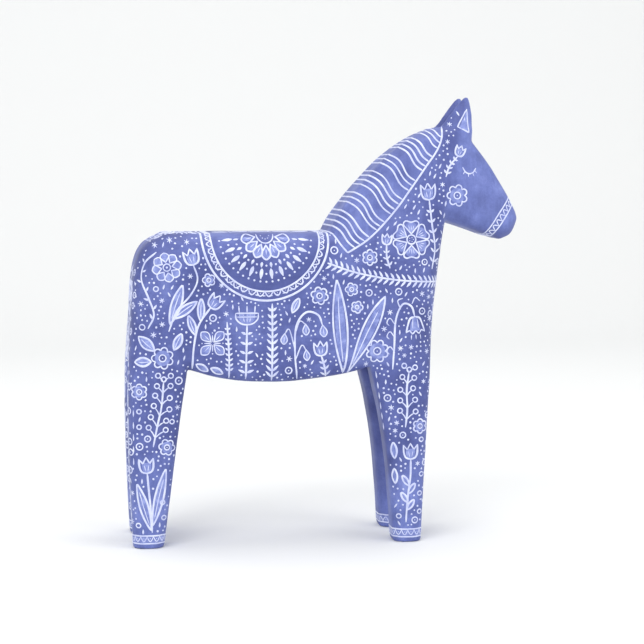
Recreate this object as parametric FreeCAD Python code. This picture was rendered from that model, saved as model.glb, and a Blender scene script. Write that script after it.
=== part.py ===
import FreeCAD, Part
import os

# Dala horse: a painted wooden horse carved from a glued-up pine blank.
# Millimetres. +X towards the head, +Y to the horse's left, +Z up.
# The origin lies on the floor, under the middle of the horse's box.

# ---- driving dimensions -------------------------------------------------
TRUNK_HALF = 42.0          # half the width of the trunk over its two side planks
TRUNK_CORE_HALF = 14.0     # half the thickness of the trunk's middle plank
NECK_CORE_HALF = 9.0       # half the thickness of the neck's middle board
NECK_ROOT_HALF = 38.0      # half the width of the neck where it leaves the trunk
NECK_TAPER = 0.16          # how fast the neck's half width falls towards the muzzle
NECK_FOOT = (40.0, 180.0)  # where the neck's half width is NECK_ROOT_HALF
NECK_AXIS = (0.8, 0.6)     # the neck's direction in the side view
LEG_INNER = 12.0           # from the middle of the horse to a leg's inner side
SOLE_INSET = 2.0           # how far a leg's two sides draw in down to its sole
LEG_TOP = 118.0            # height of the glue faces between legs and trunk
BACK_TOP = 208.0           # height of the back
HEIGHT = 300.0             # height of the ear tips

TRUNK_ROUND = 15.0         # carved rounding along the trunk's back, rump and breast
NECK_ROUND = 5.0           # carved rounding along neck, head and ears
LEG_ROUND = 7.0            # corner radius of a leg's section

LEG_DOWEL_R = 6.0          # birch dowel between each leg and the trunk
LEG_DOWEL_LENGTH = 50.0
NECK_DOWEL_R = 6.0         # birch dowels between neck and trunk
NECK_DOWEL_LENGTH = 56.0
GLUE_GAP = 0.05            # room for glue around a dowel, on the radius
END_GAP = 1.0              # room for glue at each end of a dowel

# The neck's glue face runs from the withers down to the breast.
WITHERS = (1.2, 208.0)
BREAST = (76.5, 181.0)

# Leg sections from the top down: height, rear edge, front edge.
FRONT_LEG = [(LEG_TOP, 27.4, 69.6), (88.0, 34.2, 67.2), (50.0, 39.7, 65.2), (0.0, 43.4, 63.0)]
HIND_LEG = [(LEG_TOP, -133.5, -94.2), (88.0, -134.0, -98.8), (50.0, -133.1, -103.8), (0.0, -130.9, -110.3)]

SIDES = {"right": -1, "left": 1}

TOUCHING = 0.01            # distances below this count as none
NEAR = 0.05                # a looser one, for curved edges
BEYOND = 400.0             # further than any side of the horse


# ---- helpers ------------------------------------------------------------
def point(xz, y=0.0):
    return FreeCAD.Vector(xz[0], y, xz[1])


def line(start, end):
    return Part.LineSegment(point(start), point(end)).toShape()


def curve(*points):
    spline = Part.BSplineCurve()
    spline.interpolate([point(xz) for xz in points])
    return spline.toShape()


def slab(edges, y_low, y_high):
    """A board with a side outline, between two distances from the middle."""
    face = Part.Face(Part.Wire(edges))
    face.translate(FreeCAD.Vector(0, y_low, 0))
    return face.extrude(FreeCAD.Vector(0, y_high - y_low, 0))


def mirrored(shape, side):
    """Shapes are modelled on the left, where Y is positive."""
    if side > 0:
        return shape
    return shape.mirror(FreeCAD.Vector(0, 0, 0), FreeCAD.Vector(0, 1, 0))


def middle_of(edge):
    return edge.valueAt((edge.FirstParameter + edge.LastParameter) / 2)


def rod(centre, direction, radius, length):
    start = centre - direction * (length / 2)
    return Part.makeCylinder(radius, length, start, direction)


def save(name, shape):
    solid = shape.Solids[0] if len(shape.Solids) == 1 else shape
    assert len(shape.Solids) == 1 and solid.isValid(), name
    solid.exportStep("parts/" + name + ".step")
    box = solid.BoundBox
    print(name, "volume", round(solid.Volume / 1000, 1), "cm3, faces", len(solid.Faces),
          "box", [round(v, 1) for v in (box.XMin, box.XMax, box.YMin, box.YMax, box.ZMin, box.ZMax)])


# ---- dowels -------------------------------------------------------------
def leg_dowel(sections, side, extra=0.0, room=0.0):
    """A vertical dowel, half in the leg and half in the trunk."""
    top = sections[0]
    x = (top[1] + top[2]) / 2
    y = side * (LEG_INNER + TRUNK_HALF) / 2
    centre = FreeCAD.Vector(x, y, LEG_TOP)
    return rod(centre, FreeCAD.Vector(0, 0, 1), LEG_DOWEL_R + extra, LEG_DOWEL_LENGTH + 2 * room)


def neck_dowel(share, extra=0.0, room=0.0):
    """A dowel square to the neck's glue face, at a share of the face's length."""
    face_line = point(BREAST) - point(WITHERS)
    centre = point(WITHERS) + face_line * share
    square = FreeCAD.Vector(-face_line.z, 0, face_line.x).normalize()
    return rod(centre, square, NECK_DOWEL_R + extra, NECK_DOWEL_LENGTH + 2 * room)


NECK_DOWEL_SHARES = {"neck_dowel_rear": 0.34, "neck_dowel_front": 0.68}


def bored(shape):
    """Takes the bores of all dowels out of a shape."""
    for sections in (FRONT_LEG, HIND_LEG):
        for side in SIDES.values():
            shape = shape.cut(leg_dowel(sections, side, GLUE_GAP, END_GAP))
    for share in NECK_DOWEL_SHARES.values():
        shape = shape.cut(neck_dowel(share, GLUE_GAP, END_GAP))
    return shape


# ---- trunk --------------------------------------------------------------
def trunk_edges():
    """The trunk seen from the side, from the withers clockwise."""
    front_foot = (FRONT_LEG[0][2], LEG_TOP)
    front_inner = (FRONT_LEG[0][1], LEG_TOP)
    hind_inner = (HIND_LEG[0][2], LEG_TOP)
    hind_foot = (HIND_LEG[0][1], LEG_TOP)
    rump_end = (-108.0, BACK_TOP)
    return {
        "neck_face": line(WITHERS, BREAST),
        "breast": curve(BREAST, (73.6, 160.0), (71.4, 136.0), front_foot),
        "front_pad": line(front_foot, front_inner),
        "belly": curve(front_inner, (6.0, 113.0), (-33.0, 109.0), (-70.0, 111.5), hind_inner),
        "hind_pad": line(hind_inner, hind_foot),
        "rump": curve(hind_foot, (-131.6, 150.0), (-129.0, 183.0), (-122.5, 200.0), rump_end),
        "back": line(rump_end, WITHERS),
    }


def is_outer_edge(edge, y, names, outline):
    """True if an edge of a plank lies on its outer side, along one of the named outline edges."""
    box = edge.BoundBox
    if abs(box.YMin - y) > TOUCHING or abs(box.YMax - y) > TOUCHING:
        return False
    middle = middle_of(edge)
    flat = Part.Vertex(FreeCAD.Vector(middle.x, 0, middle.z))
    return any(outline[name].distToShape(flat)[0] < TOUCHING for name in names)


def trunk_side(side):
    outline = trunk_edges()
    plank = slab(list(outline.values()), TRUNK_CORE_HALF, TRUNK_HALF)
    rounded = ("rump", "back", "breast")
    long_edges = [e for e in plank.Edges if is_outer_edge(e, TRUNK_HALF, rounded, outline)]
    return bored(mirrored(plank.makeFillet(TRUNK_ROUND, long_edges), side))


def trunk_middle():
    return bored(slab(list(trunk_edges().values()), -TRUNK_CORE_HALF, TRUNK_CORE_HALF))


# ---- neck and head ------------------------------------------------------
def head_edges(with_ear):
    """Neck and head seen from the side, from the breast up the throat and round to the crest."""
    throat = (82.0, 215.0)
    poll = (79.4, 279.0)
    brow = (100.6, 269.0)
    edges = [
        curve(BREAST, (79.4, 200.0), throat),
        curve(throat, (94.9, 211.0), (109.3, 205.8), (121.0, 202.0)),
        curve((121.0, 202.0), (128.5, 205.0), (133.9, 215.0), (132.4, 221.5)),
        curve((132.4, 221.5), (125.0, 235.0), (112.0, 254.5), brow),
    ]
    if with_ear:
        edges.append(curve(brow, (101.2, 284.0), (99.4, 297.0), (96.6, HEIGHT)))
        edges.append(curve((96.6, HEIGHT), (90.8, 294.0), poll))
    else:
        edges.append(curve(brow, (91.0, 275.5), poll))
    crest = [(70.2, 276.6), (57.8, 270.6), (41.4, 258.5), (22.8, 239.2), (8.4, 221.0)]
    edges.append(curve(poll, *crest, WITHERS))
    edges.append(line(WITHERS, BREAST))
    return edges


def flank_wedge():
    """Everything outside the neck's tapering flank, on the left."""
    across = FreeCAD.Vector(-NECK_AXIS[1], 0, NECK_AXIS[0]) * BEYOND
    slope = FreeCAD.Vector(NECK_AXIS[0], -NECK_TAPER, NECK_AXIS[1]).normalize() * BEYOND
    root = point(NECK_FOOT, NECK_ROOT_HALF)
    corners = [root - slope - across, root + slope - across, root + slope + across, root - slope + across]
    face = Part.Face(Part.makePolygon(corners + corners[:1]))
    return face.extrude(FreeCAD.Vector(0, BEYOND, 0))


def on_flank(edge):
    """True if an edge lies on the neck's flank, away from the glue face."""
    middle = middle_of(edge)
    along = (middle.x - NECK_FOOT[0]) * NECK_AXIS[0] + (middle.z - NECK_FOOT[1]) * NECK_AXIS[1]
    flank_y = NECK_ROOT_HALF - NECK_TAPER * along
    flat = Part.Vertex(FreeCAD.Vector(middle.x, 0, middle.z))
    off_glue = line(WITHERS, BREAST).distToShape(flat)[0] > NEAR
    return abs(middle.y - flank_y) < NEAR and off_glue


def neck_side(side):
    board = slab(head_edges(True), NECK_CORE_HALF, TRUNK_HALF).cut(flank_wedge())
    board = board.makeFillet(NECK_ROUND, [e for e in board.Edges if on_flank(e)])
    return bored(mirrored(board, side))


def neck_middle():
    return bored(slab(head_edges(False), -NECK_CORE_HALF, NECK_CORE_HALF))


# ---- legs ---------------------------------------------------------------
def rounded_section(x_low, x_high, y_low, y_high, z, radius):
    """A rectangle with round corners, level at height z."""
    bend = radius * (1 - 0.5 ** 0.5)
    arcs = []
    for x, y, x_in, y_in, x_first in ((x_high, y_low, -1, 1, True), (x_high, y_high, -1, -1, False),
                                      (x_low, y_high, 1, -1, True), (x_low, y_low, 1, 1, False)):
        on_x_side = FreeCAD.Vector(x + x_in * radius, y, z)
        on_y_side = FreeCAD.Vector(x, y + y_in * radius, z)
        middle = FreeCAD.Vector(x + x_in * bend, y + y_in * bend, z)
        ends = (on_x_side, on_y_side) if x_first else (on_y_side, on_x_side)
        arcs.append((ends[0], middle, ends[1]))
    parts = []
    for i, (start, middle, end) in enumerate(arcs):
        parts.append(Part.LineSegment(arcs[i - 1][2], start).toShape())
        parts.append(Part.Arc(start, middle, end).toShape())
    return Part.Wire(parts)


def leg(sections, side):
    wires = []
    for z, x_low, x_high in sections:
        inset = SOLE_INSET * (1 - z / LEG_TOP)
        y_low = LEG_INNER + inset
        y_high = TRUNK_HALF - inset
        wires.append(rounded_section(x_low, x_high, y_low, y_high, z, LEG_ROUND))
    return bored(mirrored(Part.makeLoft(wires, True, False), side))


# ---- all pieces ---------------------------------------------------------
def main():
    os.makedirs("parts", exist_ok=True)
    save("trunk_middle", trunk_middle())
    save("neck_middle", neck_middle())
    for side_name, side in SIDES.items():
        save("trunk_" + side_name, trunk_side(side))
        save("neck_" + side_name, neck_side(side))
        for end_name, sections in (("front", FRONT_LEG), ("hind", HIND_LEG)):
            save("leg_" + end_name + "_" + side_name, leg(sections, side))
            save("leg_dowel_" + end_name + "_" + side_name, leg_dowel(sections, side))
    for name, share in NECK_DOWEL_SHARES.items():
        save(name, neck_dowel(share))


main()
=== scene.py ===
import math
import random

import bmesh
import bpy
import numpy as np
import openvdb
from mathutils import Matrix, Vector


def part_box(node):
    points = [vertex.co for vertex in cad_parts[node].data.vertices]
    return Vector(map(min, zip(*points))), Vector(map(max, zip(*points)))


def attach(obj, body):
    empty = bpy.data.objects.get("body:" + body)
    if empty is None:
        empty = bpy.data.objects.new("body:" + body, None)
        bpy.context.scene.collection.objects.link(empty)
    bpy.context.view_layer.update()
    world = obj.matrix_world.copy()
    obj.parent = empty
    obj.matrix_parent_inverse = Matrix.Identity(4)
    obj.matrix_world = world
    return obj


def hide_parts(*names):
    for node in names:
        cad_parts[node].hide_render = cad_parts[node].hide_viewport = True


# A painted dala horse around its CAD frame. Shapes are worked out in millimetres in the CAD
# frame (+X towards the head, +Y to the horse's left, +Z up) and turned into metres at the end.
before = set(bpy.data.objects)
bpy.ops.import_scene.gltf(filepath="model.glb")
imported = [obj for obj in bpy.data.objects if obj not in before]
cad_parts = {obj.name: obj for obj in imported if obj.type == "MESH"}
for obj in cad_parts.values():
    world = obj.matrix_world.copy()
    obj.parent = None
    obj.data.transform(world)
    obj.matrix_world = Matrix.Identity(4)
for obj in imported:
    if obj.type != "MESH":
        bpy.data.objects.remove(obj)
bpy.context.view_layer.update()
MM = 0.001

# ---- the carved blank ---------------------------------------------------
HALF_WIDTH = 41.6        # half the width of the carved trunk, just inside the planks
LEG_TOP = 118.0          # glue faces between legs and trunk
LEG_INNER = 12.0         # inner side of a leg, from the middle
LEG_INSET = 2.0          # how far a leg's sides draw in down to its sole
TRUNK_CORE_HALF = 14.0   # glue faces between the trunk's planks
NECK_CORE_HALF = 9.0     # glue faces between the boards of neck and head
WITHERS = (1.2, 208.0)   # the neck's glue face runs from here ...
BREAST = (76.5, 181.0)   # ... to here
VOXEL = 1.3              # grid step of the carved surface
FACET_SIZE = 11.0        # breadth of a knife cut
FACET_DEPTH = 0.22       # depth of a knife cut
FACET_COUNT = 900
SOLE_EDGE = 1.6          # rounding along the edge of the soles
NECK_FOOT = (40.0, 180.0)  # where the neck's half width is NECK_ROOT_HALF
NECK_AXIS = (0.8, 0.6)   # the neck's direction in the side view
NECK_ROOT_HALF = 37.6
NECK_TAPER = 0.16        # how fast the neck's half width falls towards the muzzle
MUZZLE_TAPER = 4.5       # how much more it falls between the cheek and the nose
EAR_FOOT = 270.0         # height at which head turns into ears
EAR_HALF = 18.5          # half width over both ears, near their foot


def smooth_line(*points, steps=8):
    """A Catmull-Rom curve through points, as a list of points."""
    p = np.array(points, float)
    p = np.vstack([2 * p[0] - p[1], p, 2 * p[-1] - p[-2]])
    out = []
    for i in range(1, len(p) - 2):
        for t in np.linspace(0, 1, steps, endpoint=False):
            a = 2 * p[i]
            b = p[i + 1] - p[i - 1]
            c = 2 * p[i - 1] - 5 * p[i] + 4 * p[i + 1] - p[i + 2]
            d = -p[i - 1] + 3 * p[i] - 3 * p[i + 1] + p[i + 2]
            out.append((a + b * t + c * t * t + d * t ** 3) / 2)
    out.append(p[-2])
    return out


CREST = ((1.2, 208.0), (8.4, 221.0), (22.8, 239.2), (41.4, 258.5), (57.8, 270.6), (70.2, 276.6),
         (79.4, 279.0))
EAR_BACK = ((79.4, 279.0), (90.2, 293.2), (96.2, 299.6))
EAR_FRONT = ((96.2, 299.6), (99.2, 297.0), (101.0, 284.0), (100.6, 269.0))
FACE = ((100.6, 269.0), (112.0, 254.5), (125.0, 235.0), (132.2, 221.5))
MUZZLE = ((132.2, 221.5), (133.4, 215.5), (129.0, 206.0), (121.0, 202.2))
JAW = ((121.0, 202.2), (109.3, 205.8), (94.9, 211.0), (82.0, 215.0))
THROAT = ((82.0, 215.0), (79.4, 200.0), (76.5, 181.0), (73.6, 160.0), (71.4, 136.0), (69.4, 116.0),
          (67.2, 88.0), (65.2, 50.0), (63.0, 0.0))
FRONT_LEG_BACK = ((43.4, 0.0), (39.7, 50.0), (34.2, 88.0), (27.4, 118.0))
BELLY = ((27.4, 118.0), (6.0, 113.0), (-33.0, 109.0), (-70.0, 111.5), (-94.2, 118.0))
HIND_LEG_FRONT = ((-94.2, 118.0), (-98.8, 88.0), (-103.8, 50.0), (-110.3, 0.0))
RUMP = ((-130.9, 0.0), (-133.0, 50.0), (-133.6, 88.0), (-133.2, 118.0), (-131.4, 150.0), (-128.8, 183.0),
        (-122.3, 199.5), (-108.0, 207.8))
BELOW_FLOOR = 30.0       # legs run on below the floor, and the sole is cut flat afterwards


def side_outline():
    """The horse seen from its side, as a closed polygon."""
    points = []
    for part in (CREST, EAR_BACK, EAR_FRONT, FACE, MUZZLE, JAW, THROAT):
        points += smooth_line(*part)
    points += [(61.5, -BELOW_FLOOR), (46.0, -BELOW_FLOOR)]
    for part in (FRONT_LEG_BACK, BELLY, HIND_LEG_FRONT):
        points += smooth_line(*part)
    points += [(-114.0, -BELOW_FLOOR), (-129.5, -BELOW_FLOOR)]
    points += smooth_line(*RUMP)
    return np.array(points)


# What lies above this line isn't opened up by the gap between left and right legs.
ABOVE_LEGS = np.array([(-160, 117), (-98, 117), (-88, 96), (20, 96), (31, 117), (160, 117), (160, 340),
                       (-160, 340)])


def depth_inside(polygon, x, z):
    """Distance from points to a polygon's edge, positive inside."""
    nearest = np.full(x.shape, 1e9)
    inside = np.zeros(x.shape, bool)
    for a, b in zip(polygon, np.roll(polygon, -1, axis=0)):
        edge = b - a
        length2 = max(float(edge @ edge), 1e-9)
        t = np.clip(((x - a[0]) * edge[0] + (z - a[1]) * edge[1]) / length2, 0, 1)
        nearest = np.minimum(nearest, (x - a[0] - t * edge[0]) ** 2 + (z - a[1] - t * edge[1]) ** 2)
        if a[1] != b[1]:
            crosses = (a[1] > z) != (b[1] > z)
            inside ^= crosses & (x < (b[0] - a[0]) * (z - a[1]) / (b[1] - a[1]) + a[0])
    return np.where(inside, 1, -1) * np.sqrt(nearest)


def ramp(value, low, high):
    """Goes smoothly from 0 at low to 1 at high."""
    t = np.clip((value - low) / (high - low), 0, 1)
    return t * t * (3 - 2 * t)


def smooth_max(a, b, k):
    """The larger of two fields, with their seam rounded over a breadth of k."""
    h = np.maximum(k - np.abs(a - b), 0) / k
    return np.maximum(a, b) + h * h * k / 4


def unit(vectors):
    """Vectors brought to a length of 1."""
    return vectors / np.maximum(np.linalg.norm(vectors, axis=1, keepdims=True), 1e-9)


def along_neck(x, z):
    """Distance up the neck from the middle of the breast."""
    return (x - NECK_FOOT[0]) * NECK_AXIS[0] + (z - NECK_FOOT[1]) * NECK_AXIS[1]


def half_width(x, z):
    """Half the horse's thickness at a place of the side view."""
    neck = NECK_ROOT_HALF - NECK_TAPER * along_neck(x, z) - MUZZLE_TAPER * ramp(x, 98, 133)
    width = -smooth_max(-HALF_WIDTH, -neck, 6.0)
    width = np.minimum(width, HALF_WIDTH - LEG_INSET * (1 - np.clip(z / LEG_TOP, 0, 1)))
    ears = EAR_HALF - 0.13 * (z - EAR_FOOT - 2) + 6 * (1 - ramp(z, EAR_FOOT, EAR_FOOT + 12))
    return np.where(z > EAR_FOOT, np.minimum(width, ears), width)


def rounding(x, z):
    """Radius of the carved rounding along the outline."""
    trunk = 8.0 + 11.0 * ramp(z, 104, 150)
    neck = np.interp(along_neck(x, z), (0, 50, 95, 112), (19.0, 15.0, 10.5, 4.5))
    return np.minimum(trunk, neck)


class Blank:
    """The carved horse as a field on a grid, negative inside."""

    def __init__(self):
        self.low = np.array((-140.0, -48.0, -6.0))
        high = np.array((140.0, 48.0, 306.0))
        self.size = np.ceil((high - self.low) / VOXEL).astype(int) + 1
        axes = [self.low[i] + VOXEL * np.arange(self.size[i]) for i in range(3)]
        x, z = np.meshgrid(axes[0], axes[2], indexing="ij")
        depth = depth_inside(side_outline(), x, z)
        above = depth_inside(ABOVE_LEGS, x, z)
        radius = rounding(x, z)
        y = np.abs(axes[1])[None, :, None]
        outward = (radius - depth)[:, None, :]
        sideways = y - (half_width(x, z) - radius)[:, None, :]
        corner = np.hypot(np.maximum(outward, 0), np.maximum(sideways, 0))
        field = np.minimum(np.maximum(outward, sideways), 0) + corner - radius[:, None, :]
        inner = LEG_INNER + LEG_INSET * (1 - np.clip(z / LEG_TOP, 0, 1))
        between_legs = np.minimum(inner[:, None, :] - y, -above[:, None, :])
        field = smooth_max(field, between_legs, 9.0)
        half_gap = 6.5 + 0.1 * (z - 275)
        past_poll = (z - 281.5) * 0.92 + (x - 76.0) * 0.395    # positive where the ears stand apart
        between_ears = np.minimum(half_gap[:, None, :] - y, past_poll[:, None, :])
        field = smooth_max(field, between_ears, 4.0)
        field = field + self.knife_cuts(field, axes)
        below_floor = np.broadcast_to(-axes[2][None, None, :], field.shape)
        self.field = smooth_max(field, below_floor, SOLE_EDGE).astype(np.float32)

    def knife_cuts(self, field, axes):
        """Shallow facets, as a knife leaves them, near the surface only."""
        near = np.argwhere(np.abs(field) < 2.5 * VOXEL)
        points = np.stack([axes[i][near[:, i]] for i in range(3)], axis=1)
        rng = np.random.default_rng(7)
        seeds = points[rng.choice(len(points), FACET_COUNT, replace=False)]
        cuts = np.zeros(len(points))
        stretch = np.array((1.0, 1.0, 0.8))
        batch = 20000
        for start in range(0, len(points), batch):
            chunk = points[start:start + batch] * stretch
            gaps = ((chunk[:, None, :] - (seeds * stretch)[None, :, :]) ** 2).sum(axis=2)
            cuts[start:start + batch] = gaps.min(axis=1)
        depth = np.zeros(field.shape)
        depth[tuple(near.T)] = FACET_DEPTH * (1 - np.minimum(cuts / FACET_SIZE ** 2, 1.2))
        return depth

    def mesh(self):
        """Vertices in millimetres and quads of the carved surface."""
        grid = openvdb.FloatGrid(10.0)
        grid.copyFromArray(self.field)
        vertices, quads = grid.convertToQuads()
        return vertices * VOXEL + self.low, quads

    def sample(self, points):
        """The field at points, by trilinear interpolation."""
        g = np.clip((points - self.low) / VOXEL, 0, self.size - 1.001)
        i = g.astype(int)
        f = g - i
        total = np.zeros(len(points))
        for corner in range(8):
            o = np.array((corner & 1, corner >> 1 & 1, corner >> 2 & 1))
            weight = np.prod(np.where(o, f, 1 - f), axis=1)
            total += weight * self.field[i[:, 0] + o[0], i[:, 1] + o[1], i[:, 2] + o[2]]
        return total

    def normals(self, points, reach=1.6):
        """Outward directions at points, from the field a reach away on either side."""
        out = np.zeros_like(points)
        for axis in range(3):
            step = np.zeros(3)
            step[axis] = reach
            out[:, axis] = self.sample(points + step) - self.sample(points - step)
        return unit(out)


BLANK = Blank()


# ---- meshes and objects -------------------------------------------------
def new_object(name, data):
    """An object of its own for a mesh, a lamp or a camera."""
    made = bpy.data.objects.new(name, data)
    bpy.context.scene.collection.objects.link(made)
    return made


def new_piece(name, mesh, material, sharp_angle):
    """A piece of the horse. Edges sharper than an angle in degrees stay sharp."""
    mesh.shade_smooth()
    mesh.set_sharp_from_angle(angle=math.radians(sharp_angle))
    mesh.materials.append(material)
    piece = new_object(name, mesh)
    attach(piece, "root")
    return piece


def cut(mesh, point, normal, keep_front):
    """Cuts a closed bmesh with a plane and closes the cut. Returns a new bmesh."""
    part = mesh.copy()
    everything = part.verts[:] + part.edges[:] + part.faces[:]
    result = bmesh.ops.bisect_plane(part, geom=everything, dist=1e-7, plane_co=point, plane_no=normal,
                                    clear_inner=keep_front, clear_outer=not keep_front)
    rim = [e for e in result["geom_cut"] if isinstance(e, bmesh.types.BMEdge)]
    rim = [e for e in rim if e.is_valid and e.is_boundary]
    bmesh.ops.triangle_fill(part, edges=rim, use_beauty=True, use_dissolve=False)
    bmesh.ops.recalc_face_normals(part, faces=part.faces[:])
    return part


def halves(mesh, point, normal):
    """The two sides of a cut, the side that the normal points to first."""
    point = Vector(point) * MM
    normal = Vector(normal)
    return cut(mesh, point, normal, True), cut(mesh, point, normal, False)


OFF_GRID = 0.03          # keeps the cut between left and right legs off the mesh's own edges


def carved_pieces():
    """The carved surface cut along its glue faces, one closed bmesh per board."""
    vertices, quads = BLANK.mesh()
    whole = bmesh.new()
    source = bpy.data.meshes.new("whole")
    source.from_pydata((vertices * MM).tolist(), [], quads.tolist())
    whole.from_mesh(source)
    bpy.data.meshes.remove(source)
    bmesh.ops.recalc_face_normals(whole, faces=whole.faces[:])
    across = (WITHERS[1] - BREAST[1], 0, BREAST[0] - WITHERS[0])
    neck, rest = halves(whole, (WITHERS[0], 0, WITHERS[1]), across)
    trunk, legs = halves(rest, (0, 0, LEG_TOP), (0, 0, 1))
    made = {}
    for name, block, half in (("trunk", trunk, TRUNK_CORE_HALF), ("neck", neck, NECK_CORE_HALF)):
        made[name + "_left"], inner = halves(block, (0, half, 0), (0, 1, 0))
        made[name + "_middle"], made[name + "_right"] = halves(inner, (0, -half, 0), (0, 1, 0))
    front, hind = halves(legs, (-30, 0, 0), (1, 0, 0))
    for name, pair in (("leg_front", front), ("leg_hind", hind)):
        made[name + "_left"], made[name + "_right"] = halves(pair, (0, OFF_GRID, 0), (0, 1, 0))
    return made


# ---- materials ----------------------------------------------------------
def srgb(r, g, b):
    """A colour given as screen values from 0 to 255, in linear light."""
    def linear(v):
        v = v / 255
        return v / 12.92 if v <= 0.04045 else ((v + 0.055) / 1.055) ** 2.4
    return (linear(r), linear(g), linear(b), 1.0)


class Nodes:
    """A material's nodes, with short ways to add and join them."""

    def __init__(self, name):
        self.material = bpy.data.materials.new(name)
        self.material.use_nodes = True
        self.tree = self.material.node_tree
        self.tree.nodes.clear()
        self.shader = self.add("ShaderNodeBsdfPrincipled")
        output = self.add("ShaderNodeOutputMaterial")
        self.join(self.shader, "BSDF", output, "Surface")
        self.place = self.add("ShaderNodeTexCoord")

    def add(self, kind, **settings):
        node = self.tree.nodes.new(kind)
        for key, value in settings.items():
            setattr(node, key, value)
        return node

    def join(self, source, output, target, socket):
        self.tree.links.new(source.outputs[output], target.inputs[socket])

    def noise(self, stretch, scale, detail, roughness):
        """Noise over the object's own coordinates, stretched by a factor for each axis."""
        mapping = self.add("ShaderNodeMapping")
        mapping.inputs["Scale"].default_value = stretch
        self.join(self.place, "Object", mapping, "Vector")
        noise = self.add("ShaderNodeTexNoise")
        noise.inputs["Scale"].default_value = scale
        noise.inputs["Detail"].default_value = detail
        noise.inputs["Roughness"].default_value = roughness
        self.join(mapping, "Vector", noise, "Vector")
        return noise

    def steps(self, source, output, *stops):
        """A colour ramp over a value."""
        node = self.add("ShaderNodeValToRGB")
        ramp_stops = node.color_ramp.elements
        ramp_stops[0].position, ramp_stops[0].color = stops[0]
        ramp_stops[1].position, ramp_stops[1].color = stops[-1]
        for position, color in stops[1:-1]:
            ramp_stops.new(position).color = color
        self.join(source, output, node, "Fac")
        return node

    def mix(self, first, second, factor=None, amount=0.5, blend="MIX"):
        """Mixes two colour outputs. factor is a node whose first output sets the share."""
        node = self.add("ShaderNodeMix", data_type="RGBA", blend_type=blend)
        node.inputs[0].default_value = amount
        if factor is not None:
            self.tree.links.new(factor.outputs[0], node.inputs[0])
        self.tree.links.new(first, node.inputs[6])
        self.tree.links.new(second, node.inputs[7])
        return node.outputs[2]

    def add_up(self, first, second, clamp=False):
        """Adds the values of an attribute and a noise or a range."""
        total = self.add("ShaderNodeMath", operation="ADD", use_clamp=clamp)
        self.join(first, "Fac", total, 0)
        self.tree.links.new(second.outputs[0], total.inputs[1])
        return total

    def range(self, source, output, low, high, to_low, to_high):
        node = self.add("ShaderNodeMapRange")
        for socket, value in (("From Min", low), ("From Max", high), ("To Min", to_low), ("To Max", to_high)):
            node.inputs[socket].default_value = value
        self.join(source, output, node, "Value")
        return node

    def bump(self, source, strength, distance, under=None):
        """Relief from a noise, over another relief or over the bare shape."""
        node = self.add("ShaderNodeBump")
        node.inputs["Strength"].default_value = strength
        node.inputs["Distance"].default_value = distance
        self.join(source, "Fac", node, "Height")
        if under is not None:
            self.join(under, "Normal", node, "Normal")
        return node

    def finish(self, color, relief, gloss=None, settings=()):
        """Joins colour, relief and gloss to the shader and sets its other sockets."""
        self.tree.links.new(color, self.shader.inputs["Base Color"])
        self.join(relief, "Normal", self.shader, "Normal")
        if gloss is not None:
            self.join(gloss, "Result", self.shader, "Roughness")
        for socket, value in settings:
            self.shader.inputs[socket].default_value = value
        return self.material


EVEN = (1, 1, 1)         # noise that is the same along all three axes


def blue_paint(name, along):
    """Blue paint brushed in thin uneven coats over pine. along is the axis of grain and brush strokes."""
    n = Nodes(name)
    across = [1.0 if axis == along else 9.0 for axis in range(3)]
    pools = n.noise(EVEN, 26, 5, 0.62)
    deep = n.steps(pools, "Fac", (0.32, srgb(68, 77, 134)), (0.46, srgb(79, 89, 150)),
                   (0.58, srgb(92, 103, 165)), (0.70, srgb(111, 123, 183)))
    blooms = n.noise(EVEN, 70, 4, 0.6)
    light = n.steps(blooms, "Fac", (0.34, srgb(91, 103, 163)), (0.50, srgb(103, 116, 180)),
                    (0.62, srgb(114, 127, 191)), (0.74, srgb(130, 143, 204)))
    tone = n.add("ShaderNodeAttribute", attribute_name="tone")
    uneven = n.range(pools, "Fac", 0.35, 0.65, -0.22, 0.22)
    thin = n.add_up(tone, uneven, clamp=True)
    color = n.mix(deep.outputs["Color"], light.outputs["Color"], thin)
    streaks = n.noise(across, 42, 4, 0.6)
    streak_tone = n.steps(streaks, "Fac", (0.3, (0.82, 0.82, 0.87, 1)), (0.7, (1.12, 1.12, 1.08, 1)))
    color = n.mix(color, streak_tone.outputs["Color"], amount=0.7, blend="MULTIPLY")
    grains = n.noise(EVEN, 900, 2, 0.5)
    grain_tone = n.steps(grains, "Fac", (0.35, (0.90, 0.90, 0.93, 1)), (0.65, (1.06, 1.06, 1.04, 1)))
    color = n.mix(color, grain_tone.outputs["Color"], amount=0.6, blend="MULTIPLY")
    wear = n.add("ShaderNodeAttribute", attribute_name="wear")
    worn = n.add_up(wear, n.noise(EVEN, 240, 5, 0.7))
    rubbed = n.range(worn, "Value", 1.0, 1.5, 0.0, 0.5)
    pale = n.add("ShaderNodeRGB")
    pale.outputs[0].default_value = srgb(140, 150, 205)
    color = n.mix(color, pale.outputs["Color"], rubbed)
    wood_grain = n.bump(n.noise(across, 26, 5, 0.65), 0.35, 0.0006)
    brush_marks = n.bump(streaks, 0.30, 0.0003, wood_grain)
    relief = n.bump(grains, 0.10, 0.0002, brush_marks)
    gloss = n.range(streaks, "Fac", 0.3, 0.7, 0.48, 0.62)
    return n.finish(color, relief, gloss, (("Coat Weight", 0.07), ("Coat Roughness", 0.3),
                                           ("Specular IOR Level", 0.3)))


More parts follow.
